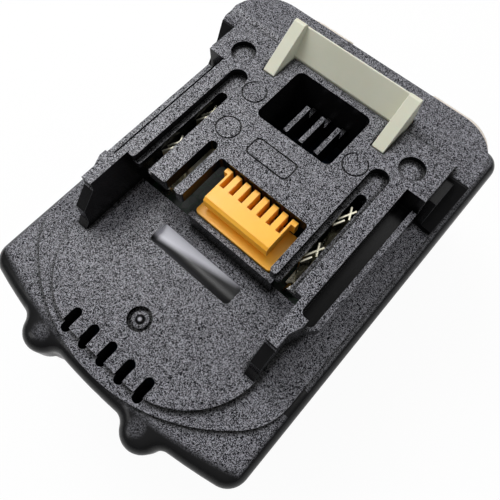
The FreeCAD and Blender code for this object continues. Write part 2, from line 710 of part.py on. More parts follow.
def rails():
    """One side's rail, neck, corner block and guide wall."""
    plan = [
        ("rail_half", "block_rear + wall"), ("rail_half", "rail_rear"),
        ("rail_half - rail_bevel", "rail_rear - rail_bevel"), ("neck_half", "jog_rear"),
        ("bay_half", "jog_rear"), ("bay_half", "block_rear + wall"),
    ]
    bar = prism("rail_bar", "XY", plan, "rail_under", "rail_top")
    neck = prism("neck", "XY", [
        ("bay_half", "block_rear + wall"), ("neck_half", "block_rear + wall"),
        ("neck_half", "jog_rear"), ("guide_half", "jog_foot"),
        ("guide_half", "guide_top_rear"), ("bay_half", "guide_top_rear"),
    ], "floor_low", "rail_under")
    jog = prism("jog", "XY", [
        ("bay_half", "bay_rear"), ("neck_half", "bay_rear"), ("neck_half", "jog_rear"),
        ("guide_half", "jog_foot"), ("guide_half", "guide_top_rear"), ("bay_half", "guide_top_rear"),
    ], "rail_under", "deck_top")
    wall = prism("guide", "YZ", [
        ("bay_rear", "floor_low"), ("bay_rear", "deck_top"), ("guide_top_rear", "deck_top"),
        ("guide_top_rear", "deck_top - guide_brow"),
        ("guide_top_rear - guide_waist_back", "deck_top - guide_waist"),
        ("guide_top_rear - guide_knee_back", "deck_top - guide_knee"),
        ("guide_top_rear - guide_foot_back", "plateau_top"),
        ("guide_top_rear - guide_foot_back", "floor_low"),
    ], "bay_half", "guide_half")
    side = box(
        "deck_side", "bay_half", "deck_half",
        "bay_rear", "block_rear + wall", "rail_under", "deck_top",
    )
    trench = box("trench_plain", "deck_half", "rail_half - rail_lip",
                 "trench_rear", "block_rear", "trench_floor", "deck_top + wall")
    trench = rounded(
        "trench", trench,
        lambda edge: d.trench_corner if upright(edge) and middle(edge).y < 0 else 0,
    )
    split = box("rail_notch", "rail_half - rail_lip - rail_split", "rail_half + wall",
                "block_rear - rail_split", "block_rear", "trench_floor", "deck_top")
    return cut("rail", fuse("rail_whole", bar, neck, jog, wall, side), trench, split)


def head():
    outline = prism("head_side", "YZ", [
        ("cheek_foot", "rim_height"), ("cheek_foot", "plateau_top"),
        ("cheek_foot + cheek_run", "deck_top - cheek_drop"), ("cheek_top - brow_run", "deck_top - brow_deep"),
        ("cheek_top", "deck_top - valley_deep"), ("ridge_y - brow_run", "deck_top - valley_deep"),
        ("ridge_y", "deck_top - ridge_drop"), ("head_front", "deck_top - brow_drop"),
        ("head_front", "lip_z"), ("wing_rear", "skirt_top"), ("wing_rear", "rim_height"),
    ], "-head_half", "head_half")
    crown = shared("head_crown", outline, feature("head_form", front_form(d.head_half, 0)))
    inset = d.panel_wall + d.panel_gap
    brow_room = wide("brow_room", "case_half", "0", "front_y", "rim_height", "lip_z")
    core = shared("head_core", brow_room, feature("core_form", front_form(d.panel_half, inset)))
    tub_line = wide("tub_line", "case_half", "cheek_foot", "case_front", "rim_height", "deck_top")
    bosses = [
        rod("cover_boss_%d" % i, "boss_r", x, y, "rim_height", "rim_height + boss_rise")
        for i, (x, y) in enumerate(wells("boss")[2:])
    ]
    return fuse("head", crown, shared("head_inside", core, fuse("head_back", tub_line, *bosses)))


def slot(name, x, half, y0, y1, z0, z1):
    """A slot along Y with a round front end."""
    straight = box(name + "_run", x + " - " + half, x + " + " + half, y0, y1 + " - " + half, z0, z1)
    return fuse(name, straight, rod(name + "_end", half, x, y1 + " - " + half, z0, z1))


def deck_cuts():
    cuts = [
        wide("bay", "bay_half", "bay_rear - wall", "bay_front", "plateau_top", "deck_low"),
        wide("board_room", "board_half + board_clear", "board_rear - board_clear",
             "board_front + board_clear", "rim_height - wall", "floor_low"),
        wide("bay_floor", "bay_half", "floor_front", "bay_front", "floor_low - wall", "plateau_top + wall"),
    ]
    for i, side in enumerate(SIDES):
        spot = ("%d * dimple_x" % side, "dimple_y")
        cuts.append(rod("dimple_%d" % i, "dimple_r", *spot, "deck_top - dimple_deep", "deck_top + wall"))
        cuts.append(slot("channel_head_%d" % i, "%d * contact_x" % side, "channel_wide / 2", "mouth_front",
                         "channel_front", "deck_top - channel_deep", "deck_top + wall"))
    return cuts


def ring_groove(name, x, y):
    """A fine groove round a spot on the deck."""
    zone = ("deck_top - mark_deep", "deck_top + mark_deep")
    outer = rod(name + "_outer", "mark_r + mark_wide / 2", x, y, *zone)
    return cut(name, outer, rod(name + "_inner", "mark_r - mark_wide / 2", x, y, *zone))


def framed_field():
    """A fine groove round a bare field of the deck."""
    rings = []
    for name, out in (("field_outer", "mark_wide / 2"), ("field_inner", "-mark_wide / 2")):
        plain = wide(name + "_plain", "field_half + " + out, "field_rear - " + out, "field_front + " + out,
                     "deck_top - mark_deep", "deck_top + mark_deep")
        rings.append(rounded(name, plain, lambda edge: d.field_corner if upright(edge) else 0))
    return cut("field", *rings)


def deck_plate():
    """The deck between the rails, with its slots open to the rear."""
    plate = wide("deck_plain", "deck_half", "bay_rear", "block_front", "deck_low", "deck_top")
    start = "bay_rear - wall"
    under = "deck_low - wall"
    over = "deck_top + wall"
    mouth = box("mouth_plain", "mouth_left", "mouth_right", start, "mouth_front", under, over)
    mouth = rounded(
        "mouth", mouth,
        lambda edge: d.mouth_corner if upright(edge) and middle(edge).y > d.bay_rear else 0,
    )
    cuts = [
        mouth,
        slot("third_slot", "third_x", "third_wide / 2", start, "third_front", under, over),
    ]
    for i, side in enumerate(SIDES):
        x = "%d * contact_x" % side
        cuts.append(slot("channel_%d" % i, x, "channel_wide / 2", start, "channel_front",
                         "deck_top - channel_deep", over))
        cuts.append(slot("contact_slot_%d" % i, x, "slot_wide / 2", start, "slot_front", under, over))
    open_plate = cut("deck_open", plate, *cuts)

    def tab(edge):
        at = middle(edge)
        rear = abs(at.y - d.bay_rear) < 1e-4 and abs(at.x) < d.deck_half - d.bay_in
        return d.tab_corner if upright(edge) and rear else 0

    soft = rounded("deck_soft", open_plate, tab)
    marks = [
        ring_groove("ring_left", "-mark_x", "mark_y"),
        ring_groove("ring_right", "mark_x", "mark_y"),
        ring_groove("ring_third", "third_mark_x", "third_mark_y"),
        framed_field(),
    ]
    return cut("deck_plate", soft, *marks)


def floor_cuts():
    hollow = rod_x("scoop_hollow", "scoop_r", "-scoop_half", "scoop_half", "scoop_y", "scoop_z")
    frame = wide("scoop_plain", "scoop_half", "scoop_rear", "scoop_front", "floor_low", "deck_top")
    frame = rounded("scoop_frame", frame, lambda edge: d.scoop_corner if upright(edge) else 0)
    cuts = [shared("scoop", hollow, frame)]
    for i in VENTS:
        x = "%d * vent_pitch" % i
        half = "vent_wide / 2"
        run = box("vent_run_%d" % (i + 2), x + " - " + half, x + " + " + half,
                  "vent_rear + " + half, "vent_front - " + half, "roof_low - over", "deck_top")
        ends = [
            rod("vent_end_%d_%d" % (i + 2, k), half, x, y, "roof_low - over", "deck_top")
            for k, y in enumerate(("vent_rear + " + half, "vent_front - " + half))
        ]
        cuts.append(fuse("vent_%d" % (i + 2), run, *ends))
    ring = rod("nub_well", "nub_ring", 0, "nub_y", "plateau_top - dimple_deep", "deck_top")
    disc = rod("nub_disc", "nub_r", 0, "nub_y", "plateau_top - dimple_deep", "plateau_top - nub_sunk")
    tip = doc.addObject("Part::Cone", "nub")
    tip.setExpression("Radius1", bound("nub_tip"))
    tip.setExpression("Radius2", bound("nub_tip - nub_high"))
    tip.setExpression("Height", bound("nub_high"))
    place(tip, 0, "nub_y", "plateau_top - nub_sunk")
    cuts.append(cut("nub_recess", ring, disc, tip))
    return cuts


def latch_pocket():
    ear_out = "latch_half + run_gap"
    ear_in = "latch_half - ear_wide - run_gap"
    low = "rim_height - over"
    high = "deck_top + over"
    ears = cut(
        "ear_pocket",
        wide("ear_pocket_out", ear_out, "latch_rear - run_gap", "latch_front + run_gap", low, high),
        wide("ear_pocket_in", ear_in, "latch_rear - over", "beam_rear - run_gap", low, high),
    )
    arm = wide("arm_pocket", "arm_half + run_gap", "beam_rear - run_gap", "front_y", low, "arm_top + run_gap")
    skin = wide("button_pocket", "button_half + run_gap", "head_front - panel_gap", "front_y", low, "lip_z")
    return [ears, arm, skin]


def top_cover():
    rail = rails()
    deck = deck_plate()
    screen = box("screen", "screen_left", "screen_right", "screen_rear", "floor_front",
                 "floor_low", "deck_top - screen_drop")
    block = wide("front_block", "block_half", "block_rear", "block_front", "skirt_top", "deck_top")
    whole = fuse("cover_whole", *tiers(), deck, block, rail, mirror("rail_left", rail), head())
    shaft = wide("well_shaft", "window_half", "window_rear", "window_front", "rim_height", "deck_top + over")
    shaft = rounded("well_room", shaft, lambda edge: d.window_corner if upright(edge) else 0)
    tube = wide("well_tube", "window_half + well_wall", "window_rear - well_wall",
                "window_front + well_wall", "well_foot", "deck_low")
    screws = [
        rod("cover_hole_%d" % i, "screw_r + screw_fit", x, y, "rim_height - over", "screw_tip + screw_clear")
        for i, (x, y) in enumerate(wells("hole"))
    ]
    room = bowed_room("loft", "roof_in", "rim_height - over", "roof_low")
    hollow = cut("cover_hollow", whole, room, *deck_cuts(), *floor_cuts(), *screws)
    ribs = []
    for i in RIBS:
        x0 = "%d * rib_pitch - rib_thick / 2" % i
        x1 = "%d * rib_pitch + rib_thick / 2" % i
        ribs.append(box("rib_high_%d" % (i + 1), x0, x1, "rib_rear", "rib_front", "well_foot", "rib_top"))
        ribs.append(box("rib_low_%d" % (i + 1), x0, x1, "window_rear - over", "window_front + over",
                        "well_foot", "rib_top - rib_step"))
    walled = cut("cover_walled", fuse("cover_tubed", hollow, tube, screen), shaft)
    return cut("top_cover", fuse("cover_ribbed", walled, *ribs), *latch_pocket())


# Front panel: the pale shell round the thumb button


def front_panel():
    outer = feature("panel_form", front_form(d.panel_half, 0))
    inner = feature("panel_inner", front_form(d.panel_half, d.panel_wall))
    gap = "panel_gap"
    ahead = prism("panel_side", "YZ", [
        ("head_front + " + gap, "lip_z - " + gap), ("wing_rear + " + gap, "skirt_top + " + gap),
        ("case_front + " + gap, "skirt_top + " + gap), ("case_front + " + gap, "panel_low"),
        ("front_y + over", "panel_low"), ("front_y + over", "lip_z - " + gap),
    ], "-case_half", "case_half")
    floor = wide("panel_floor", "case_half", "0", "front_y", "panel_low", "panel_low + panel_wall")
    hollow = cut("panel_hollow", inner, floor)
    shell = cut("panel_shell", shared("panel_solid", outer, ahead), hollow)
    doorway = wide(
        "doorway", "button_half + run_gap", "0", "front_y + over",
        "button_low - latch_travel - run_gap", "deck_top",
    )
    drivers = [
        rod("driver_%d" % i, "screw_head_r + screw_clear", x, y, "0", "panel_low + panel_wall + over")
        for i, (x, y) in enumerate(wells("driver")[2:])
    ]
    return cut("front_panel", shell, doorway, *drivers)


# Latch: two ears and a beam that rise from the deck, an arm and the button


def latch():
    ear = prism("ear", "YZ", [
        ("latch_rear", "latch_low"), ("latch_rear", "deck_top"),
        ("latch_front - ear_flat", "deck_top + latch_rise"), ("latch_front", "deck_top + latch_rise"),
        ("latch_front", "latch_low"),
    ], "latch_half - ear_wide", "latch_half")

    def brow(edge):
        high = at_height(edge, d.deck_top + d.latch_rise)
        return d.ear_round if high and middle(edge).y > d.latch_front - 1e-4 else 0

    ear = rounded("ear_soft", ear, brow)
    beam_top = "deck_top + latch_rise - beam_drop"
    beam = prism("beam", "YZ", [
        ("beam_rear", "latch_low"), ("beam_rear", "deck_top + beam_foot"),
        ("latch_front - beam_flat", beam_top), ("latch_front", beam_top), ("latch_front", "latch_low"),
    ], "-latch_half + ear_wide / 2", "latch_half - ear_wide / 2")
    outer = front_form(d.panel_half, d.button_sunk)
    inner = front_form(d.panel_half, d.button_sunk + d.button_thick)
    face = wide("button_face", "button_half", "head_front + run_gap", "front_y", "button_low", "button_top")
    skin = shared("button_skin", feature("button_form", outer.cut(inner)), face)
    arm_line = feature("arm_form", front_form(d.panel_half, d.button_sunk + d.button_thick / 2))
    reach = wide("arm_reach", "arm_half", "beam_rear", "front_y", "arm_low", "arm_top")
    stem = wide("beam_stem", "arm_half", "beam_rear", "latch_front", "arm_low", "latch_low + over")
    arm = shared("arm", reach, arm_line)
    lugs = []
    for i, side in enumerate(SIDES):
        x = "%d * spring_x" % side
        lugs.append(box(
            "button_lug_%d" % i, x + " - seat_half", x + " + seat_half",
            "case_front + run_gap", "front_y - button_sunk - button_thick / 2",
            "lug_low", "lug_low + seat_thick",
        ))
    return fuse("latch", ear, mirror("ear_left", ear), beam, stem, arm, skin, *lugs)


# Latch springs: two coils, each one unbroken tube


TURNS = 9


def coil_points():
    """Points a quarter turn apart on a helix, with the helix's direction."""
    rise = (d.lug_low - d.seat_high - d.spring_wire) / TURNS
    radius = d.spring_d / 2
    start = d.seat_high + d.spring_wire / 2
    points = []
    for i in range(4 * TURNS + 1):
        angle = math.pi / 2 * i
        run = V(-radius * math.sin(angle), radius * math.cos(angle), rise / (2 * math.pi))
        spot = V(radius * math.cos(angle), radius * math.sin(angle), start + rise * i / 4)
        points.append((spot, run.normalize()))
    return points


def arc_edge(start, corner, end):
    """The arc that touches start-corner and corner-end at start and end."""
    half = (start + end) / 2
    chord = (end - start).Length / 2
    rise = corner - half
    sink = math.atan2(rise.Length, chord)
    top = half + rise * (chord * math.tan(sink / 2) / rise.Length)
    return Part.Arc(start, top, end).toShape()


def biarc(first, second):
    """Two arcs that leave one point along its direction and meet the next."""
    (a, run_a), (b, run_b) = first, second
    span = b - a
    runs = run_a + run_b
    square = 2 * (1 - run_a.dot(run_b))
    along = span.dot(runs)
    reach = (math.sqrt(along ** 2 + square * span.dot(span)) - along) / square
    joint = (a + run_a * reach + b - run_b * reach) / 2
    return [arc_edge(a, a + run_a * reach, joint), arc_edge(joint, b - run_b * reach, b)]


def spring_gap(points):
    """The least distance between neighbouring turns, less the wire."""
    apart = min((points[i + 4][0] - points[i][0]).Length for i in range(len(points) - 4))
    return apart - d.spring_wire


def latch_springs():
    points = coil_points()
    print("spring gap %.2f mm" % spring_gap(points))
    edges = []
    for first, second in zip(points, points[1:]):
        edges += biarc(first, second)
    path = Part.Wire(edges)
    start, run = points[0]
    ring = Part.Wire(Part.Circle(start, run, d.spring_wire / 2).toShape())
    coil = path.makePipeShell([ring], True, False)
    coils = []
    for side in SIDES:
        copy = coil.copy()
        copy.translate(V(side * d.spring_x, d.spring_y, 0))
        coils.append(copy)
    return feature("latch_springs", Part.makeCompound(coils))


# Terminal block: a body with a slotted comb for the signal contacts


def terminal_block():
    body = box("block_plain", "block_left", "block_right", "block_back", "block_nose",
               "board_top", "block_high")
    body = rounded(
        "block_body", body,
        lambda edge: d.block_corner if upright(edge) and middle(edge).y < d.comb_rear else 0,
    )
    neck = box(
        "block_neck", "comb_left + comb_neck", "comb_right - comb_neck",
        "comb_rear + comb_neck", "comb_root - comb_neck / 2", "block_high", "comb_low",
    )
    comb = prism("comb", "YZ", [
        ("comb_rear", "comb_low"), ("comb_rear", "comb_high - comb_bevel"),
        ("comb_rear + comb_bevel", "comb_high"), ("comb_tip - comb_bevel", "comb_high"),
        ("comb_tip", "comb_high - comb_bevel"), ("comb_tip", "comb_low"),
    ], "comb_left", "comb_right")
    ears = box("comb_ears", "comb_left - comb_ear", "comb_right + comb_ear",
               "comb_tip - comb_ear_long", "comb_tip", "comb_low", "comb_high")
    slots = []
    for i in SLOTS:
        x = "comb_mid + %d * comb_pitch" % i
        slots.append(box(
            "comb_slot_%d" % (i + 3), x + " - comb_slot / 2", x + " + comb_slot / 2",
            "comb_root", "comb_tip + over", "slot_low", "comb_high + over",
        ))
    return cut("terminal_block", fuse("block_whole", body, neck, comb, ears), *slots)


def signal_contacts():
    plates = []
    for i in SLOTS:
        x = "comb_mid + %d * comb_pitch" % i
        plates.append(box(
            "plate_%d" % (i + 3), x + " - plate_thick / 2", x + " + plate_thick / 2",
            "comb_root", "comb_root + plate_long", "slot_low", "slot_low + plate_high",
        ))
    doc.recompute()
    return feature("signal_contacts", Part.makeCompound([plate.Shape.copy() for plate in plates]))


# Power contacts: a foot on the board and two forks of crossed leaves


def leaf(name, x, y, long, turn):
    """A slanted leaf that stands on the board with its middle on a spot."""
    obj = doc.addObject("Part::Box", name)
    obj.setExpression("Length", bound("leaf_thick"))
    obj.setExpression("Width", bound(long))
    obj.setExpression("Height", bound("leaf_top - board_top"))
    angle = turn * d.leaf_turn
    obj.Placement.Rotation = FreeCAD.Rotation(V(0, 0, 1), -angle)
    lean = math.radians(angle)
    back = getattr(d, long) / 2
    shift = -d.leaf_thick / 2 * math.cos(lean) - back * math.sin(lean)
    drop = d.leaf_thick / 2 * math.sin(lean) - back * math.cos(lean)
    return place(obj, "%s + %.4f" % (x, shift), "%s + %.4f" % (y, drop), "board_top")


def power_contact(name, side):
    x = "%d * contact_x" % side
    parts = [box(
        name + "_foot", x + " - foot_half", x + " + foot_half",
        "foot_rear", "foot_front", "board_top", "board_top + foot_high",
    )]
    for i in range(FORKS):
        y = "fork_front - %d * fork_pitch" % i
        fork = "%s_leaf_%d" % (name, i)
        parts.append(leaf(fork + "_long", x + " - leaf_side", y, "leaf_long", 1))
        parts.append(leaf(fork + "_short", x + " - 2 * leaf_side", y + " - leaf_back", "leaf_short", 1))
        parts.append(leaf(fork + "_cross", x, y + " + leaf_ahead", "leaf_cross", -1))
    return fuse(name, *parts)


# Circuit board, what stands on it and its screws


def studs():
    """The board screws' places as (x, y) expressions."""
    return [("%d * stud_x" % side, y) for side in SIDES for y in ("stud_rear", "stud_front")]


def circuit_board():
    plate = wide("board_plate", "board_half", "board_rear", "board_front", "board_low", "board_top")
    plate = rounded("board_round", plate, lambda edge: d.board_corner if upright(edge) else 0)
    holes = [
        rod("board_hole_%d" % i, "pin_r + pin_play", x, y, "board_low - over", "board_top + over")
        for i, (x, y) in enumerate(studs())
    ]
    return cut("circuit_board", plate, *holes)


def board_components():
    """Two chips, a shunt, a fuse and a row of resistors on the board."""
    spots = [
        ("control_chip", "-chip_x", "chip_in", "chip_wide", "chip_wide"),
        ("balance_chip", "chip_x", "chip_in", "small_chip", "small_chip"),
        ("shunt", "0", "shunt_in", "2 * shunt_half", "shunt_wide"),
        ("fuse", "fuse_x", "shunt_in", "fuse_long", "shunt_wide"),
    ]
    for i in range(RESISTORS):
        y = "resistor_in + %d * resistor_pitch" % i
        spots.append(("resistor_%d" % i, "-resistor_x", y, "resistor_long", "resistor_wide"))
    chips = []
    for name, x, y, long, across in spots:
        middle_y = "board_rear + " + y
        chips.append(box(
            name, "%s - (%s) / 2" % (x, long), "%s + (%s) / 2" % (x, long),
            "%s - %s / 2" % (middle_y, across), "%s + %s / 2" % (middle_y, across),
            "board_top", "board_top + part_high",
        ))
    doc.recompute()
    return feature("board_components", Part.makeCompound([chip.Shape.copy() for chip in chips]))


def screw(name, x, y, z, radius, long, head_radius, head):
    """A screw that stands on z: its shank above it and its head below."""
    shank = rod(name + "_shank", radius, x, y, z, "%s + %s" % (z, long))
    cap = rod(name + "_head", head_radius, x, y, "%s - %s" % (z, head), z)
    return fuse(name, shank, cap)


def case_screws():
    screws = [
        screw("case_screw_%d" % i, x, y, "screw_ledge", "screw_r", "screw_tip - screw_ledge",
              "screw_head_r", "screw_head")
        for i, (x, y) in enumerate(wells("screw"))
    ]
    doc.recompute()
    return feature("case_screws", Part.makeCompound([one.Shape.copy() for one in screws]))


def board_screws():
    screws = []
    for i, (x, y) in enumerate(studs()):
        shank = rod("pin_%d" % i, "pin_r", x, y, "board_low - pin_long", "board_top")
        cap = rod("pin_head_%d" % i, "pin_head_r", x, y, "board_top", "board_top + pin_head")
        screws.append(fuse("pin_whole_%d" % i, shank, cap))
    doc.recompute()
    return feature("board_screws", Part.makeCompound([one.Shape.copy() for one in screws]))


# Cell block: ten cells in two holders, strips, leads, cards and a sensor


def cell_place(i):
    """A cell's middle as (y, z) expressions, by its number from 0."""
    return "first_y + %d * pitch" % (i % COLUMNS), "first_z + %d * pitch" % (i // COLUMNS)


def cell(i):
    """A can with rounded ends and a raised cap at its positive end."""
    name = "cell_%d" % (i + 1)
    y, z = cell_place(i)
    plus = 1 if i % 2 else -1
    if plus > 0:
        ends = ("-half_cell", "half_cell - cap_high")
        cap = ("half_cell - cap_high", "half_cell")
    else:
        ends = ("-half_cell + cap_high", "half_cell")
        cap = ("-half_cell", "-half_cell + cap_high")
    can = rod_x(name + "_can", "cell_d / 2", ends[0], ends[1], y, z)
    soft = rounded(name + "_soft", can, lambda edge: d.cell_edge if len(edge.Vertexes) == 1 else 0)
    return fuse(name, soft, rod_x(name + "_cap", "cap_r", cap[0], cap[1], y, z))


def holder(name, side):
    inner = "half_cell - holder_reach"
    x = (inner, "half_cell") if side > 0 else ("-half_cell", "-(%s)" % inner)
    plain = box(name + "_plain", x[0], x[1], "cells_rear", "cells_front", "cells_low", "cells_top")
    body = rounded(name + "_body", plain, lambda edge: d.holder_corner if upright(edge) else 0)
    tops = [
        rod("%s_stud_%d" % (name, i), "stud_r", "%d * stud_x" % side, y, "cells_top", "board_low")
        for i, y in enumerate(("stud_rear", "stud_front"))
    ]
    whole = fuse(name + "_whole", body, *tops)
    bores = []
    for i in range(2 * COLUMNS):
        y, z = cell_place(i)
        bores.append(rod_x("%s_bore_%d" % (name, i), "cell_d / 2 + holder_clear",
                           x[0] + " - over", x[1] + " + over", y, z))
    for i, y in enumerate(("stud_rear", "stud_front")):
        bores.append(rod("%s_pin_%d" % (name, i), "pin_r + holder_clear", "%d * stud_x" % side, y,
                         "board_low - pin_long", "board_low + over"))
    return cut(name, whole, *bores)


def strip(name, side, first, last):
    """A ladder of nickel over both layers from one column to another."""
    x = ("half_cell", "strip_out") if side > 0 else ("-strip_out", "-half_cell")
    y0 = "first_y + %d * pitch - strip_wide / 2" % first
    y1 = "first_y + %d * pitch + strip_wide / 2" % last
    plate = box(name + "_plate", x[0], x[1], y0, y1, "first_z - strip_wide / 2",
                "first_z + pitch + strip_wide / 2")
    window = box(name + "_window", x[0] + " - over", x[1] + " + over", y0 + " + strip_wide / 4",
                 y1 + " - strip_wide / 4", "first_z + strip_wide / 2", "first_z + pitch - strip_wide / 2")
    return cut(name, plate, window)


def nickel_strips(name, side, groups):
    strips = [strip("%s_%d" % (name, i), side, a, b) for i, (a, b) in enumerate(groups)]
    doc.recompute()
    return feature(name, Part.makeCompound([one.Shape.copy() for one in strips]))


def lead(name, side, column, end):
    """A strap from an end strip up over the holder and along it, and in
    under the board's edge at y = end.
    """
    y = "first_y + %d * pitch" % column
    y0 = y + " - lead_wide / 2"
    y1 = y + " + lead_wide / 2"
    z = ("board_low - lead_thick", "board_low")
    outer = "board_half + board_clear + lead_wide"
    inner = "board_half - lead_wide / 2"
    low = (end + " - lead_wide / 2", y1) if column else (y0, end + " + lead_wide / 2")
    spans = [
        ("up", "strip_out", "card_in", y0, y1, "first_z + pitch", z[1]),
        ("over", "board_half + board_clear", "card_in", y0, y1, z[0], z[1]),
        ("along", "board_half + board_clear", outer, low[0], low[1], z[0], z[1]),
        ("in", inner, outer, end + " - lead_wide / 2", end + " + lead_wide / 2", z[0], z[1]),
    ]
    pieces = []
    for part, x0, x1, *rest in spans:
        x = (x0, x1) if side > 0 else ("-(%s)" % x1, "-(%s)" % x0)
        pieces.append(box("%s_%s" % (name, part), x[0], x[1], *rest))
    return fuse(name, *pieces)


def card(name, side):
    x = ("card_in", "card_out") if side > 0 else ("-card_out", "-card_in")
    return box(name, x[0], x[1], "cells_rear + pad_in", "cells_front - pad_in",
               "cells_low + pad_in / 2", "cells_top - pad_in / 2")


def temperature_sensor():
    """A bead in the valley between two upper cells and its flat lead."""
    sum_r = d.cell_d / 2 + d.sensor_r + d.holder_clear
    rise = math.sqrt(sum_r ** 2 - (d.pitch / 2) ** 2)
    y = "first_y + pitch * 3 / 2"
    z = "first_z + pitch + %.4f" % rise
    bead = rod_x("sensor_bead", "sensor_r", "-sensor_long / 2", "sensor_long / 2", y, z)
    tail = box("sensor_tail", "-sensor_r", "sensor_r", y + " - sensor_lead / 2",
               y + " + sensor_lead / 2", z, "board_low")
    return fuse("temperature_sensor", bead, tail)


# Build every sub-part, check it and write it

nodes = {
    "lower_case": lower_case(),
    "top_cover": top_cover(),
    "front_panel": front_panel(),
    "latch": latch(),
    "latch_springs": latch_springs(),
    "terminal_block": terminal_block(),
    "signal_contacts": signal_contacts(),
    "positive_contact": power_contact("positive_contact", 1),
    "negative_contact": power_contact("negative_contact", -1),
    "circuit_board": circuit_board(),
    "board_components": board_components(),
    "board_screws": board_screws(),
    "case_screws": case_screws(),
    "cell_holder_left": holder("cell_holder_left", -1),
    "cell_holder_right": holder("cell_holder_right", 1),
    "nickel_strips_left": nickel_strips("nickel_strips_left", -1, ((0, 0), (1, 2), (3, 4))),
    "nickel_strips_right": nickel_strips("nickel_strips_right", 1, ((0, 1), (2, 3), (4, 4))),
    "negative_lead": lead("negative_lead", -1, 0, "stud_rear + lead_reach"),
    "positive_lead": lead("positive_lead", 1, 4, "stud_front - lead_reach"),
    "insulating_card_left": card("insulating_card_left", -1),
    "insulating_card_right": card("insulating_card_right", 1),
    "foam_pad": wide("foam_pad", "half_cell - pad_in", "cells_rear + pad_in",
                     "cells_front - pad_in", "floor_thick", "cells_low"),
    "temperature_sensor": temperature_sensor(),
}
for number in range(2 * COLUMNS):
    nodes["cell_%d" % (number + 1)] = cell(number)

doc.recompute()
failed = [obj.Name for obj in doc.Objects if "Invalid" in obj.State or "Error" in obj.State]
for name, obj in nodes.items():
    obj.Label = name
    if obj.Shape.isNull() or not obj.Shape.isValid():
        failed.append(name)
if failed:
    raise SystemExit("failed: " + ", ".join(failed))

os.makedirs("parts", exist_ok=True)
for name, obj in nodes.items():
    obj.Shape.exportStep("parts/%s.step" % name)
    print("%-24s %2d solids %9.1f mm3" % (name, len(obj.Shape.Solids), obj.Shape.Volume))
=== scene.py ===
"""The looks of a slide-on battery pack: moulded black case, ivory latch, orange terminal block.

The pack's own frame: X across, Y towards the latch, Z up from the bench. Objects are in metres.
Places and sizes below are in millimetres unless a line says otherwise, and MM turns them into metres.
"""
import json
import math

import bpy
import numpy as np
from mathutils import Matrix, Vector


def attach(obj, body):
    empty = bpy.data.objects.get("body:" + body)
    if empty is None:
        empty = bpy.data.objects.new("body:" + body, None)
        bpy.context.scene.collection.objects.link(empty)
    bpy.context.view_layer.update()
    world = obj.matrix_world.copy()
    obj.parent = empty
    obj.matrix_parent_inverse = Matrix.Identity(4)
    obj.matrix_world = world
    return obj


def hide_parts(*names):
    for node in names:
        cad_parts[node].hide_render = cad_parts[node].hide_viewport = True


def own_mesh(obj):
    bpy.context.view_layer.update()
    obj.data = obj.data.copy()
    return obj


MM = 0.001

# Where the black shell is left smooth and dark though the face looks up: partly the mould's own finish,
# partly painted shade. OUT is the distance from the middle plane, BACK runs along Y and HIGH up from
# the bench. A pair is a zone's two limits, or where a fade starts and where it is full. TURN and TILT
# say how far a face looks up, from 0 to 1.
SKIRT_HIGH = 45.4                 # the skirt's flat top: below it the rounding is smooth and dark, partly painted shade
SKIRT_TURN = (0.95, 0.74)
SKIRT_BACK = (-52.3, -50.3)       # on the flat top the texture starts here, in the middle plane; behind it is painted shade
SKIRT_BOW = 0.0045                # and further forward at the sides, by this times OUT squared
LOBE = (14.6, -52.6)              # OUT and BACK of a screw lobe's middle
LOBE_FADE = (2.6, 0.8)            # round it the grains come back, up to LOBE_SHARE of them: texture, and a faint painted highlight
LOBE_SHARE = 0.35
NUB = (0.0, -37.0)                # OUT and BACK of the moulding gate in the plateau's round recess
NUB_SMOOTH = 1.15                 # it is smooth within this radius
NUB_HIGHLIGHT = (0.55, 0.25)            # a painted highlight fades in on its peak between these radii, up to the share below
NUB_HIGHLIGHT_SHARE = 0.5
SCOOP_OUT = 11.85
SCOOP_BACK = (-22.9, -17.5)
SCOOP_HIGH = (44.0, 47.3)
SCOOP_SHEEN = (-20.4, -18.5)     # the scoop's front carries a painted pale sheen, from this line
SCOOP_LEAN = 0.16                 # which runs back towards the left by this slope
GUIDE_OUT = 23.6
GUIDE_BACK = (-31.2, -24.7)
GUIDE_HIGH = 57.5
GUIDE_TILT = (0.97, 0.94)
TRENCH_OUT = (25.45, 28.8)
TRENCH_HIGH = (53.2, 54.2)
CHEEK_OUT = 30.2
CHEEK_BACK = (20.0, 28.5)
CHEEK_HIGH = (46.2, 58.4)

# Craters of the spark-eroded mould: spacing, the chances of a cell between which it turns from dark
# to bright, and share of the whole. They are 0.1 mm in life, drawn coarser so that they show.
CRATERS = ((0.30, 0.50, 0.85, 0.15), (0.13, 0.52, 0.66, 0.85))
TEXTURED_UP = (0.22, 0.62)        # a face is textured from this much looking up
CREASE = 1.5                      # how near a wall has to be for painted shade in a groove
OPEN = (0.76, 0.95)               # open sky over a crease, and over a plain face

# The joints of solder: OUT, Y, foot, radius and height. The latch's springs: OUT, Y, foot and top,
# mean radius, wire and turns.
SOLDER = (19.1, -10.2, 43.88, 1.6, 2.4)
SPRING = (8.0, 52.789, 24.0, 40.0, 1.25, 0.5, 9)

# The photograph's camera, from one fitted to the pack's outline: lens, place and axes
LENS = 34.86
EYE = (32.64, -39.44, 147.71)
EYE_RIGHT = (0.7488, 0.6628, 0.0039)
EYE_UP = (-0.6188, 0.6968, 0.3629)
EYE_BACK = (0.2373, -0.2742, 0.9318)

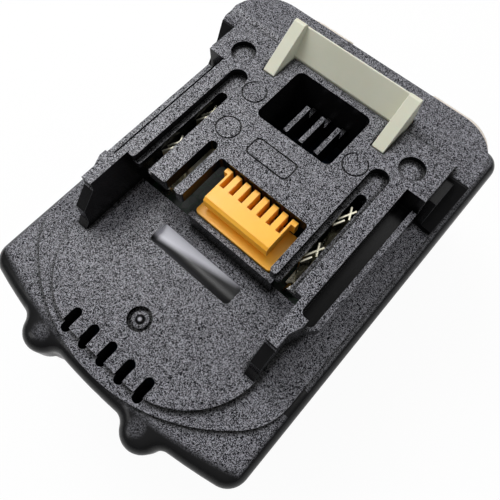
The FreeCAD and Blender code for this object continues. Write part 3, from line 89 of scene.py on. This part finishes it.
# Soft lamps: name, direction from the pack, distance and width in metres, and watts
LAMPS = (
    ("key", (-0.56, 0.22, 0.80), 0.5, 0.24, 1.75),
    ("top_back", (-0.12, 0.60, 0.79), 0.6, 0.30, 0.35),
    ("rear_left", (-0.42, -0.70, 0.56), 0.6, 0.20, 0.35),
    ("right_side", (0.83, 0.25, 0.45), 0.6, 0.20, 0.3),
)
AIM = (0, 0, 0.05)                # metres: the point that the lamps face
ROOM = (0.14, 0.52)               # the room's light on surfaces, from the bench up to straight above
BENCH_HALF = 1.5                  # metres
BENCH_WHITE = 0.95                # share of plain white in what the camera sees of the bench
WHITE = (1.0, 1.0, 1.0, 1.0)


def linear(text):
    """The linear colour of an sRGB hex value, with a full alpha."""
    parts = [int(text[k:k + 2], 16) / 255 for k in (1, 3, 5)]
    return tuple(p / 12.92 if p <= 0.04045 else ((p + 0.055) / 1.055) ** 2.4 for p in parts) + (1.0,)


# ---------------------------------------------------------------- nodes

def add(tree, kind, settings=None, inputs=None):
    """One shader node of a kind, with its own settings, and values or sockets on its inputs."""
    made = tree.nodes.new("ShaderNode" + kind)
    for name, value in (settings or {}).items():
        setattr(made, name, value)
    for name, value in (inputs or {}).items():
        if isinstance(value, bpy.types.NodeSocket):
            tree.links.new(value, made.inputs[name])
        else:
            made.inputs[name].default_value = value
    return made


def maths(tree, operation, first, *others):
    """The socket of an operation on one value, or on several, taken in turn from the left."""
    for other in others or (0.0,):
        first = add(tree, "Math", {"operation": operation}, {0: first, 1: other}).outputs[0]
    return first


def ramp(tree, value, low, high, start=0.0, end=1.0):
    """A smooth step: start at low and before it, end at high and past it."""
    return add(tree, "MapRange", {"interpolation_type": "SMOOTHSTEP"}, {
        "Value": value, "From Min": low, "From Max": high, "To Min": start, "To Max": end}).outputs[0]


def mix(tree, share, first, second):
    """Two colours mixed by a share from 0 to 1."""
    return add(tree, "Mix", {"data_type": "RGBA"}, {"Factor": share, 6: first, 7: second}).outputs[2]


def split(tree, vector):
    """The three parts of a vector."""
    return add(tree, "SeparateXYZ", {}, {0: vector}).outputs


def stretched(tree, place, scale):
    """A place scaled along each axis, so that a pattern is drawn out where the scale is small."""
    return add(tree, "VectorMath", {"operation": "MULTIPLY"}, {0: place, 1: scale}).outputs[0]


def noise(tree, place, size, detail=2.0, roughness=0.5):
    """Fractal noise whose features are about size millimetres across."""
    return add(tree, "TexNoise", {}, {"Vector": place, "Scale": 1.0 / size, "Detail": detail,
                                      "Roughness": roughness}).outputs["Fac"]


def facing(tree):
    """The face's own normal."""
    return add(tree, "NewGeometry").outputs["Normal"]


def softened(tree, radius):
    """The normal with its edges rounded by a radius, and how near an edge the point is."""
    rounded = add(tree, "Bevel", {"samples": 4}, {"Radius": radius * MM}).outputs[0]
    agree = add(tree, "VectorMath", {"operation": "DOT_PRODUCT"}, {0: rounded, 1: facing(tree)})
    return rounded, ramp(tree, agree.outputs["Value"], 0.995, 0.86)


def bump(tree, height, depth, normal=None):
    """A normal from a height map of a full depth."""
    inputs = {"Height": height, "Distance": depth * MM, "Strength": 1.0}
    if normal is not None:
        inputs["Normal"] = normal
    return add(tree, "Bump", {}, inputs).outputs[0]


def material(name):
    """An empty material: its tree, its surface shader and Object coordinates in millimetres."""
    made = bpy.data.materials.new(name)
    made.use_nodes = True
    tree = made.node_tree
    tree.nodes.clear()
    shader = add(tree, "BsdfPrincipled")
    output = add(tree, "OutputMaterial", {}, {"Surface": shader.outputs[0]})
    output.is_active_output = True
    spot = add(tree, "TexCoord").outputs["Object"]
    place = add(tree, "VectorMath", {"operation": "SCALE"}, {0: spot, "Scale": 1.0 / MM}).outputs[0]
    return made, tree, shader, place


SOCKETS = {"colour": "Base Color", "normal": "Normal", "roughness": "Roughness", "metallic": "Metallic",
           "specular": "Specular IOR Level", "ior": "IOR", "subsurface": "Subsurface Weight",
           "subsurface_scale": "Subsurface Scale"}


def settle(tree, shader, **inputs):
    """Sockets and plain values on the shader's own inputs."""
    for name, value in inputs.items():
        if isinstance(value, bpy.types.NodeSocket):
            tree.links.new(value, shader.inputs[SOCKETS[name]])
        else:
            shader.inputs[SOCKETS[name]].default_value = value


# ---------------------------------------------------------------- masks on the shell

def above(tree, value, limit, soft=0.1):
    """A mask that is 1 where a value is over a limit."""
    return ramp(tree, value, limit - soft, limit + soft)


def below(tree, value, limit, soft=0.1):
    """A mask that is 1 where a value is under a limit."""
    return ramp(tree, value, limit + soft, limit - soft)


def between(tree, value, low, high, soft=0.06):
    """A mask that is 1 where a value lies between two limits."""
    return maths(tree, "MULTIPLY", above(tree, value, low, soft), below(tree, value, high, soft))


def opposite(tree, mask):
    """1 where a mask is 0, and 0 where it is 1."""
    return maths(tree, "SUBTRACT", 1.0, mask)


def apart(tree, place, spot):
    """How far a point is, in plan, from a spot given on the pack's right half."""
    across, back, _ = split(tree, place)
    flat = add(tree, "CombineXYZ", {}, {0: maths(tree, "ABSOLUTE", across), 1: back}).outputs[0]
    return add(tree, "VectorMath", {"operation": "DISTANCE"}, {0: flat, 1: spot + (0.0,)}).outputs["Value"]


def smooth_and_shaded_steps(tree, place, up):
    """A mask for the faces left smooth and dark though they look up: the skirt's rounding and the rear of
    its flat top and the head's cheeks, partly the mould's finish and partly painted shade; the rails'
    trenches, the guide walls' rear ends and the moulding gate."""
    across, back, high = split(tree, place)
    out = maths(tree, "ABSOLUTE", across)
    bowed = maths(tree, "SUBTRACT", back, maths(tree, "MULTIPLY", out, out, SKIRT_BOW))
    lobe = ramp(tree, apart(tree, place, LOBE), *LOBE_FADE, 0.0, LOBE_SHARE)
    inner = maths(tree, "MAXIMUM", ramp(tree, bowed, *SKIRT_BACK), lobe)
    turned = maths(tree, "MAXIMUM", ramp(tree, up, *SKIRT_TURN), opposite(tree, inner))
    skirt = maths(tree, "MULTIPLY", below(tree, high, SKIRT_HIGH), turned)
    trench = maths(tree, "MULTIPLY", between(tree, out, *TRENCH_OUT), between(tree, high, *TRENCH_HIGH))
    cheek = maths(tree, "MULTIPLY", between(tree, back, *CHEEK_BACK), between(tree, high, *CHEEK_HIGH),
                  above(tree, out, CHEEK_OUT))
    guide = maths(tree, "MULTIPLY", between(tree, back, *GUIDE_BACK), below(tree, high, GUIDE_HIGH),
                  ramp(tree, up, *GUIDE_TILT), above(tree, out, GUIDE_OUT))
    nub = below(tree, apart(tree, place, NUB), NUB_SMOOTH)
    return maths(tree, "MAXIMUM", skirt, trench, cheek, guide, nub)


def scoop_masks(tree, place):
    """Masks for the thumb scoop in the rear floor, and for its front, which carries a painted pale sheen.
    """
    across, back, high = split(tree, place)
    out = maths(tree, "ABSOLUTE", across)
    inside = maths(tree, "MULTIPLY", below(tree, out, SCOOP_OUT, 0.05), between(tree, back, *SCOOP_BACK),
                   between(tree, high, *SCOOP_HIGH))
    leant = maths(tree, "SUBTRACT", back, maths(tree, "MULTIPLY", across, SCOOP_LEAN))
    return inside, maths(tree, "MULTIPLY", inside, ramp(tree, leant, *SCOOP_SHEEN))


# ---------------------------------------------------------------- finishes

def grains(tree, place, size, dark, bright):
    """Craters about size millimetres apart: 0 on the dark ones, 1 on the bright ones."""
    pits = add(tree, "TexVoronoi", {}, {"Vector": place, "Scale": 1.0 / size})
    chance = add(tree, "SeparateColor", {}, {0: pits.outputs["Color"]}).outputs[0]
    return ramp(tree, chance, dark, bright)


def spark_eroded_abs():
    """Glass-filled ABS from a spark-eroded mould: the craters' glints are painted as fine grey grains in
    the colour, on top of their real gloss, and walls that slide out of the mould are smooth and nearly
    black."""
    made, tree, shader, place = material("spark_eroded_black_abs")
    rounded, edge = softened(tree, 0.2)
    up = split(tree, facing(tree))[2]
    scoop, painted_sheen = scoop_masks(tree, place)
    smooth = maths(tree, "MAXIMUM", smooth_and_shaded_steps(tree, place, up), scoop)
    textured = maths(tree, "MULTIPLY", ramp(tree, up, *TEXTURED_UP), opposite(tree, smooth))
    grain = maths(tree, "ADD", *[maths(tree, "MULTIPLY", grains(tree, place, size, dark, bright), share)
                                 for size, dark, bright, share in CRATERS])
    dots = maths(tree, "MULTIPLY", grain, textured)
    tip_highlight = ramp(tree, apart(tree, place, NUB), *NUB_HIGHLIGHT, 0.0, NUB_HIGHLIGHT_SHARE)

    body = mix(tree, noise(tree, place, 3.0), linear("#0c0c0f"), linear("#131318"))
    colour = mix(tree, textured, linear("#131314"), body)
    # painted sheen on the scoop's front and a painted highlight on the gate's peak, in pale grey
    colour = mix(tree, maths(tree, "MAXIMUM", painted_sheen, tip_highlight), colour, linear("#d2d2da"))
    # partly painted highlight: the craters' glints are painted as pale grains in the colour, besides their
    # real gloss
    colour = mix(tree, dots, colour, linear("#9c9ca4"))
    # painted highlight: a pale line along the rounded edges
    colour = mix(tree, maths(tree, "MULTIPLY", edge, 0.30), colour, linear("#8a8a92"))
    # painted shade: grooves and the feet of steps are darkened in the colour, as little light reaches
    # them, but not the scoop's painted sheen
    sky = add(tree, "AmbientOcclusion", {"samples": 6}, {"Distance": CREASE * MM}).outputs["AO"]
    lit = maths(tree, "MAXIMUM", ramp(tree, sky, *OPEN), maths(tree, "MULTIPLY", painted_sheen, 0.9))
    pits = maths(tree, "MULTIPLY", maths(tree, "ADD", grain, noise(tree, place, 0.4)),
                 ramp(tree, textured, 0.0, 1.0, 0.04, 1.0))
    settle(tree, shader, ior=1.52,
           colour=mix(tree, lit, linear("#040405"), colour),
           normal=bump(tree, pits, 0.05, rounded),
           roughness=maths(tree, "ADD", ramp(tree, textured, 0.0, 1.0, 0.22, 0.42),
                           maths(tree, "MULTIPLY", scoop, 0.16)),
           specular=maths(tree, "ADD", maths(tree, "MULTIPLY", dots, 0.8),
                          maths(tree, "MULTIPLY", scoop, 0.3), ramp(tree, textured, 0.0, 1.0, 0.18, 0.05)))
    return made


def moulded(name, pale, deep, rough, grain_size=0.5, grain_depth=0.02, subsurface=0.0, edge_highlight_colour=None):
    """Plastic from a plain mould: two close tones in slow patches where it cooled unevenly, a faint
    grain, and edges rounded by the mould, with a painted highlight on them for light that gets through."""
    made, tree, shader, place = material(name)
    rounded, edge = softened(tree, 0.3)
    patches = noise(tree, place, 6.0)
    colour = mix(tree, patches, linear(deep), linear(pale))
    # painted highlight: the edges are painted paler
    if edge_highlight_colour:
        colour = mix(tree, maths(tree, "MULTIPLY", edge, 0.5), colour, linear(edge_highlight_colour))
    settle(tree, shader, ior=1.49, subsurface=subsurface, subsurface_scale=MM, colour=colour,
           normal=bump(tree, noise(tree, place, grain_size), grain_depth, rounded),
           roughness=ramp(tree, patches, 0.3, 0.7, rough - 0.05, rough + 0.05))
    return made


def bare_metal(name, pale, deep, rough, line_size=0.12):
    """Metal with fine lines along Y, as rolling, drawing or running solder leaves them, and patches
    dulled by handling."""
    made, tree, shader, place = material(name)
    rounded, _ = softened(tree, 0.08)
    lines = noise(tree, stretched(tree, place, (1.0, 0.08, 1.0)), line_size)
    patches = noise(tree, place, 2.2, 3.0)
    settle(tree, shader, metallic=1.0, colour=mix(tree, patches, linear(deep), linear(pale)),
           normal=bump(tree, lines, 0.006, rounded),
           roughness=ramp(tree, patches, 0.3, 0.75, rough, rough + 0.18))
    return made


def solder_mask():
    """Green lacquer on a circuit board: glossy, with the copper tracks just raised under it."""
    made, tree, shader, place = material("green_solder_mask")
    cells = add(tree, "TexVoronoi", {"feature": "DISTANCE_TO_EDGE"}, {"Vector": place, "Scale": 0.45})
    track = ramp(tree, cells.outputs["Distance"], 0.03, 0.08, 1.0, 0.0)
    settle(tree, shader, roughness=0.40, ior=1.5, specular=0.3, normal=bump(tree, track, 0.03),
           colour=mix(tree, track, linear("#04150c"), linear("#0a2a18")))
    return made


def shrink_wrap():
    """Blue PVC sleeve shrunk on a steel can: glossy, with faint wrinkles round it. The can's ends,
    past 32 mm from the middle, are bare."""
    made, tree, shader, place = material("blue_shrink_wrap")
    wrinkle = noise(tree, stretched(tree, place, (1.6, 0.2, 0.2)), 1.4)
    across = maths(tree, "ABSOLUTE", split(tree, place)[0])
    sideways = maths(tree, "ABSOLUTE", split(tree, facing(tree))[0])
    end = maths(tree, "MULTIPLY", above(tree, across, 32.0), ramp(tree, sideways, 0.9, 0.97))
    settle(tree, shader, roughness=0.3, ior=1.52, metallic=end, normal=bump(tree, wrinkle, 0.05),
           colour=mix(tree, end, linear("#14283a"), linear("#b9b8b2")))
    return made


def pressed_card():
    """Grey fish paper: pressed fibres, matt, with flecks."""
    made, tree, shader, place = material("pressed_grey_card")
    flecks = noise(tree, stretched(tree, place, (1.0, 0.2, 1.0)), 0.3, 4.0, 0.65)
    settle(tree, shader, roughness=0.85, ior=1.45, normal=bump(tree, flecks, 0.04),
           colour=mix(tree, ramp(tree, flecks, 0.4, 0.7), linear("#55575a"), linear("#8a8c8c")))
    return made


def cell_foam():
    """Closed-cell foam: matt black with small round pores."""
    made, tree, shader, place = material("black_cell_foam")
    pores = add(tree, "TexVoronoi", {}, {"Vector": place, "Scale": 1.8}).outputs["Distance"]
    settle(tree, shader, roughness=0.95, ior=1.4, normal=bump(tree, pores, 0.2),
           colour=mix(tree, ramp(tree, pores, 0.1, 0.5), linear("#0c0c0d"), linear("#2a2a2c")))
    return made


# ---------------------------------------------------------------- the pack

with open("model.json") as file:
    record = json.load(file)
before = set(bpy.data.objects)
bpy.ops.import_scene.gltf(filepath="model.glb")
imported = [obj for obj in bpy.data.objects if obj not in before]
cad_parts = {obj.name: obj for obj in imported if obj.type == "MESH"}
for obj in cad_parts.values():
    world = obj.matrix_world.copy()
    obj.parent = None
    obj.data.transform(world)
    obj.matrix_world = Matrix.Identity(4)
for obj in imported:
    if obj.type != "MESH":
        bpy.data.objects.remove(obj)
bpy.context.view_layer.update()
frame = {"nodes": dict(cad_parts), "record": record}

# by the record's material slots
FINISHES = {
    "black_shell": spark_eroded_abs(),
    "panel_beige": moulded("satin_beige_abs", "#e6dccd", "#dacebd", 0.42, 0.4, 0.03),
    "latch_ivory": moulded("ivory_acetal", "#dcdcca", "#d2d2bd", 0.36, 0.5, 0.02, 0.08, "#fafaf2"),
    "terminal_orange": moulded("orange_pbt", "#ffbe3a", "#ffae26", 0.34, 0.5, 0.012, 0.05, "#ffd488"),
    "contact_nickel": bare_metal("bright_nickel_plate", "#e9e6d4", "#b9b49c", 0.20),
    "contact_brass": bare_metal("tinned_brass", "#e2cf9a", "#b39a5c", 0.24),
    "spring_steel": bare_metal("drawn_spring_wire", "#c2c3c6", "#8f9094", 0.28),
    "strip_nickel": bare_metal("rolled_nickel_strip", "#cbc9c2", "#98968e", 0.30, 0.2),
    "screw_steel": bare_metal("black_zinc_screw_steel", "#5f5f62", "#39393c", 0.35),
    "board_green": solder_mask(),
    "chip_black": moulded("moulded_epoxy", "#242426", "#18181a", 0.55, 0.2, 0.03),
    "holder_black": moulded("black_polycarbonate_holder", "#232325", "#19191b", 0.42, 0.3, 0.03),
    "cell_wrap": shrink_wrap(),
    "card_grey": pressed_card(),
    "foam_black": cell_foam(),
}
SET_TIN = bare_metal("set_tin_solder", "#f4f4f2", "#c9c9c6", 0.16, 0.6)

for part in frame["record"]["subparts"]:
    slots = frame["nodes"][part["node"]].data.materials
    slots.clear()
    slots.append(FINISHES[part["material_slot"]])


def from_mesh(name, spots, faces, finish):
    """A new object from its points and faces, with the faces of up to four corners shaded smooth."""
    mesh = bpy.data.meshes.new(name)
    mesh.from_pydata((np.array(spots) * MM).tolist(), [], faces)
    mesh.polygons.foreach_set("use_smooth", [len(face) <= 4 for face in faces])
    mesh.materials.append(finish)
    made = bpy.data.objects.new(name, mesh)
    bpy.context.scene.collection.objects.link(made)
    return made


def solder_joint(name, x, y, z, radius, high):
    """A joint of set solder on a contact's foot: height = high * sqrt(1 - (r / R)^2), where its own
    outline R = radius * (1 + 0.10 cos 3a + 0.06 sin 5a) runs unevenly round the angle a."""
    rings, steps = 14, 40
    spots = [(x, y, z + high)]
    for ring in range(1, rings + 1):
        share = math.sin(math.pi / 2 * ring / rings)
        level = z + high * math.sqrt(max(0.0, 1 - share ** 2))
        for step in range(steps):
            a = 2 * math.pi * step / steps
            r = share * radius * (1 + 0.10 * math.cos(3 * a) + 0.06 * math.sin(5 * a))
            spots.append((x + r * math.cos(a), y + r * math.sin(a), level))
    faces = [(0, 1 + k, 1 + (k + 1) % steps) for k in range(steps)]
    for first in range(1, 1 + (rings - 1) * steps, steps):
        for k in range(steps):
            after = (k + 1) % steps
            faces.append((first + k, first + steps + k, first + steps + after, first + after))
    faces.append(tuple(reversed(range(1 + (rings - 1) * steps, 1 + rings * steps))))
    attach(from_mesh(name, spots, faces, SET_TIN), "case")


def coil_springs(name, out, y, low, high, radius, wire, turns):
    """Two wire coils in place of the latch's springs. Their middle line is the helix
    (radius cos a, radius sin a, low + wire/2 + rise a / 2 pi), and round it runs a circle of the
    wire's own radius, square to the line. A flat disc closes each end."""
    steps, sides = 28 * turns, 12
    rise = (high - low - wire) / turns
    spots, faces = [], []
    for x in (-out, out):
        first = len(spots)
        for step in range(steps + 1):
            a = 2 * math.pi * turns * step / steps
            away = np.array((math.cos(a), math.sin(a), 0.0))
            run = np.array((-radius * math.sin(a), radius * math.cos(a), rise / (2 * math.pi)))
            over = np.cross(run / np.linalg.norm(run), away)
            middle = np.array((x, y, low + wire / 2 + rise * turns * step / steps)) + radius * away
            for side in range(sides):
                b = 2 * math.pi * side / sides
                spots.append(middle + wire / 2 * (math.cos(b) * away + math.sin(b) * over))
        for here in range(first, first + steps * sides, sides):
            for side in range(sides):
                after = (side + 1) % sides
                faces.append((here + side, here + after, here + sides + after, here + sides + side))
        faces.append(tuple(range(first + sides - 1, first - 1, -1)))
        faces.append(tuple(range(first + steps * sides, first + (steps + 1) * sides)))
    made = from_mesh(name, spots, faces, FINISHES["spring_steel"])
    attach(made, "case")
    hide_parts("latch_springs")
    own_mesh(made)


solder_joint("solder_joint_right", *SOLDER)
solder_joint("solder_joint_left", -SOLDER[0], *SOLDER[1:])
coil_springs("coil_springs", *SPRING)


# ---------------------------------------------------------------- stage

def floor():
    """A plain pale bench, which the camera sees as white with the pack's own soft shadow."""
    made, tree, shader, _ = material("pale_bench")
    settle(tree, shader, colour=linear("#eeeeee"), roughness=0.6)
    surface = shader.outputs[0].links[0].to_socket
    glow = add(tree, "Emission", {}, {"Color": WHITE, "Strength": 1.0})
    seen = add(tree, "LightPath").outputs["Is Camera Ray"]
    both = add(tree, "MixShader", {}, {0: maths(tree, "MULTIPLY", seen, BENCH_WHITE),
                                       1: shader.outputs[0], 2: glow.outputs[0]})
    tree.links.new(both.outputs[0], surface)
    half = BENCH_HALF / MM
    corners = [(-half, -half, 0), (half, -half, 0), (half, half, 0), (-half, half, 0)]
    from_mesh("bench", corners, [(0, 1, 2, 3)], made)


def room():
    """Plain light from above, dimmer towards the bench: white to the camera, softer on surfaces."""
    world = bpy.data.worlds.new("studio")
    world.use_nodes = True
    tree = world.node_tree
    tree.nodes.clear()
    path = add(tree, "LightPath")
    seen = maths(tree, "MAXIMUM", path.outputs["Is Camera Ray"], path.outputs["Is Transmission Ray"])
    height = split(tree, add(tree, "TexCoord").outputs["Generated"])[2]
    strength = maths(tree, "MAXIMUM", seen, ramp(tree, height, -0.1, 1.0, *ROOM))
    back = add(tree, "Background", {}, {"Color": WHITE, "Strength": strength})
    add(tree, "OutputWorld", {}, {"Surface": back.outputs[0]})
    bpy.context.scene.world = world


def lamp(name, towards, distance, size, watts):
    """A soft square lamp in the direction given from the pack, facing it."""
    light = bpy.data.lights.new(name, "AREA")
    light.shape = "SQUARE"
    light.size = size
    light.energy = watts
    held = bpy.data.objects.new(name, light)
    direction = Vector(towards).normalized()
    held.location = direction * distance + Vector(AIM)
    held.rotation_euler = direction.to_track_quat("Z", "Y").to_euler()
    bpy.context.scene.collection.objects.link(held)


def camera():
    """The photograph's view of the pack."""
    data = bpy.data.cameras.new("photo_view")
    data.sensor_width = 36.0
    data.lens = LENS
    data.clip_start = 0.005
    data.clip_end = 10.0
    held = bpy.data.objects.new("photo_view", data)
    turn = Matrix((EYE_RIGHT, EYE_UP, EYE_BACK)).transposed().to_4x4()
    held.matrix_world = Matrix.Translation(Vector(EYE) * MM) @ turn
    bpy.context.scene.collection.objects.link(held)
    bpy.context.scene.camera = held


floor()
room()
for row in LAMPS:
    lamp(*row)
camera()
bpy.context.scene.view_settings.view_transform = "Standard"
